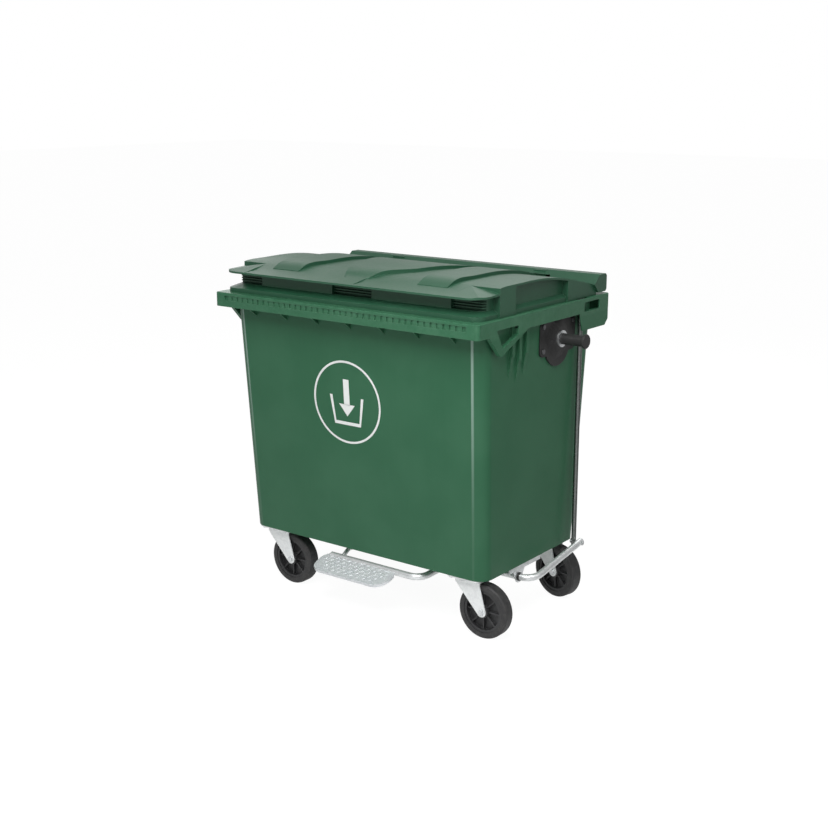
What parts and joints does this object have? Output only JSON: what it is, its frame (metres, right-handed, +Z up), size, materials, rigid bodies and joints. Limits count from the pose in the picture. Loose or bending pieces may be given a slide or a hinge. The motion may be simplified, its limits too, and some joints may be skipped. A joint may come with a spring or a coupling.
{
  "type": "wheeled waste container",
  "caption": "Wheeled waste container: tapered green tub with flanged rim, handles and trunnions, hinged lid lifted by a foot pedal and rod, swivel casters.",
  "frame": {"origin": "on the floor, under the middle of the rim", "axes": "+X to the right seen from the front, +Y to the back where the hinge is, +Z up"},
  "size_m": [1.37, 0.86, 1.2632],
  "materials": {
    "body_green": "satin moulded polyethylene, dark green",
    "lid_green": "satin moulded polyethylene, dark green with a pale sheen",
    "black_plastic": "matt black moulded plastic",
    "wheel_plastic": "matt dark grey moulded plastic",
    "tyre_rubber": "matt black rubber",
    "zinc_steel": "zinc plated, satin",
    "tread_plate": "galvanised tread plate",
    "bush_plastic": "matt black plastic"
  },
  "bodies": {
    "tub": {"tub": "body_green", "trunnion_plate_left": "black_plastic", "trunnion_plate_right": "black_plastic", "trunnion_collar_left": "zinc_steel", "trunnion_collar_right": "zinc_steel", "trunnion_left": "black_plastic", "trunnion_right": "black_plastic", "trunnion_screws": "zinc_steel", "hinge_pins": "zinc_steel", "caster_bolts": "zinc_steel", "pedal_hanger_left": "zinc_steel", "pedal_hanger_middle": "zinc_steel", "pedal_hanger_right": "zinc_steel", "pedal_bushes": "bush_plastic", "pedal_hanger_bolts": "zinc_steel", "caster_plate_front_left": "zinc_steel", "caster_kingpin_front_left": "zinc_steel", "caster_plate_front_right": "zinc_steel", "caster_kingpin_front_right": "zinc_steel", "caster_plate_rear_left": "zinc_steel", "caster_kingpin_rear_left": "zinc_steel", "caster_plate_rear_right": "zinc_steel", "caster_kingpin_rear_right": "zinc_steel"},
    "lid": {"lid": "lid_green", "lid_lug": "zinc_steel", "lid_lug_pin": "zinc_steel", "lid_lug_screws": "zinc_steel"},
    "pedal": {"pedal_shaft": "zinc_steel", "pedal_front_tube": "zinc_steel", "pedal_left_arm": "zinc_steel", "pedal_foot_plate": "tread_plate", "rod_pin": "zinc_steel"},
    "rod": {"lift_rod": "zinc_steel", "lift_rod_head": "zinc_steel"},
    "swivel_front_left": {"caster_fork_front_left": "zinc_steel", "caster_axle_front_left": "zinc_steel"},
    "wheel_front_left": {"wheel_core_front_left": "wheel_plastic", "wheel_tyre_front_left": "tyre_rubber"},
    "swivel_front_right": {"caster_fork_front_right": "zinc_steel", "caster_axle_front_right": "zinc_steel"},
    "wheel_front_right": {"wheel_core_front_right": "wheel_plastic", "wheel_tyre_front_right": "tyre_rubber"},
    "swivel_rear_left": {"caster_fork_rear_left": "zinc_steel", "caster_axle_rear_left": "zinc_steel"},
    "wheel_rear_left": {"wheel_core_rear_left": "wheel_plastic", "wheel_tyre_rear_left": "tyre_rubber"},
    "swivel_rear_right": {"caster_fork_rear_right": "zinc_steel", "caster_axle_rear_right": "zinc_steel"},
    "wheel_rear_right": {"wheel_core_rear_right": "wheel_plastic", "wheel_tyre_rear_right": "tyre_rubber"}
  },
  "joints": [
    {"name": "lid_hinge", "type": "hinge", "parent": "tub", "child": "lid", "pos_m": [0, 0.384, 1.18], "axis": [-1, 0, 0], "range_deg": [0, 40]},
    {"name": "pedal_pivot", "type": "hinge", "parent": "tub", "child": "pedal", "pos_m": [0, -0.08, 0.178], "axis": [1, 0, 0], "range_deg": [0, 18.64]},
    {"name": "rod_pivot", "type": "hinge", "parent": "pedal", "child": "rod", "pos_m": [0.5753, 0.244, 0.228], "axis": [-1, 0, 0], "range_deg": [0, 20.32]},
    {"name": "swivel_turn_front_left", "type": "hinge", "parent": "tub", "child": "swivel_front_left", "pos_m": [-0.447, -0.252, 0.207], "axis": [0, 0, 1], "continuous": true},
    {"name": "wheel_roll_front_left", "type": "hinge", "parent": "swivel_front_left", "child": "wheel_front_left", "pos_m": [-0.379, -0.252, 0.1], "axis": [0, 1, 0], "continuous": true},
    {"name": "swivel_turn_front_right", "type": "hinge", "parent": "tub", "child": "swivel_front_right", "pos_m": [0.447, -0.252, 0.207], "axis": [0, 0, 1], "continuous": true},
    {"name": "wheel_roll_front_right", "type": "hinge", "parent": "swivel_front_right", "child": "wheel_front_right", "pos_m": [0.515, -0.252, 0.1], "axis": [0, 1, 0], "continuous": true},
    {"name": "swivel_turn_rear_left", "type": "hinge", "parent": "tub", "child": "swivel_rear_left", "pos_m": [-0.447, 0.256, 0.207], "axis": [0, 0, 1], "continuous": true},
    {"name": "wheel_roll_rear_left", "type": "hinge", "parent": "swivel_rear_left", "child": "wheel_rear_left", "pos_m": [-0.379, 0.256, 0.1], "axis": [0, 1, 0], "continuous": true},
    {"name": "swivel_turn_rear_right", "type": "hinge", "parent": "tub", "child": "swivel_rear_right", "pos_m": [0.447, 0.256, 0.207], "axis": [0, 0, 1], "continuous": true},
    {"name": "wheel_roll_rear_right", "type": "hinge", "parent": "swivel_rear_right", "child": "wheel_rear_right", "pos_m": [0.51326, 0.2407, 0.1], "axis": [0.225, 0.9744, 0], "continuous": true}
  ],
  "couplings": [
    {"joint": "pedal_pivot", "follows": "lid_hinge", "ratio": 0.466},
    {"joint": "rod_pivot", "follows": "lid_hinge", "ratio": 0.508}
  ]
}
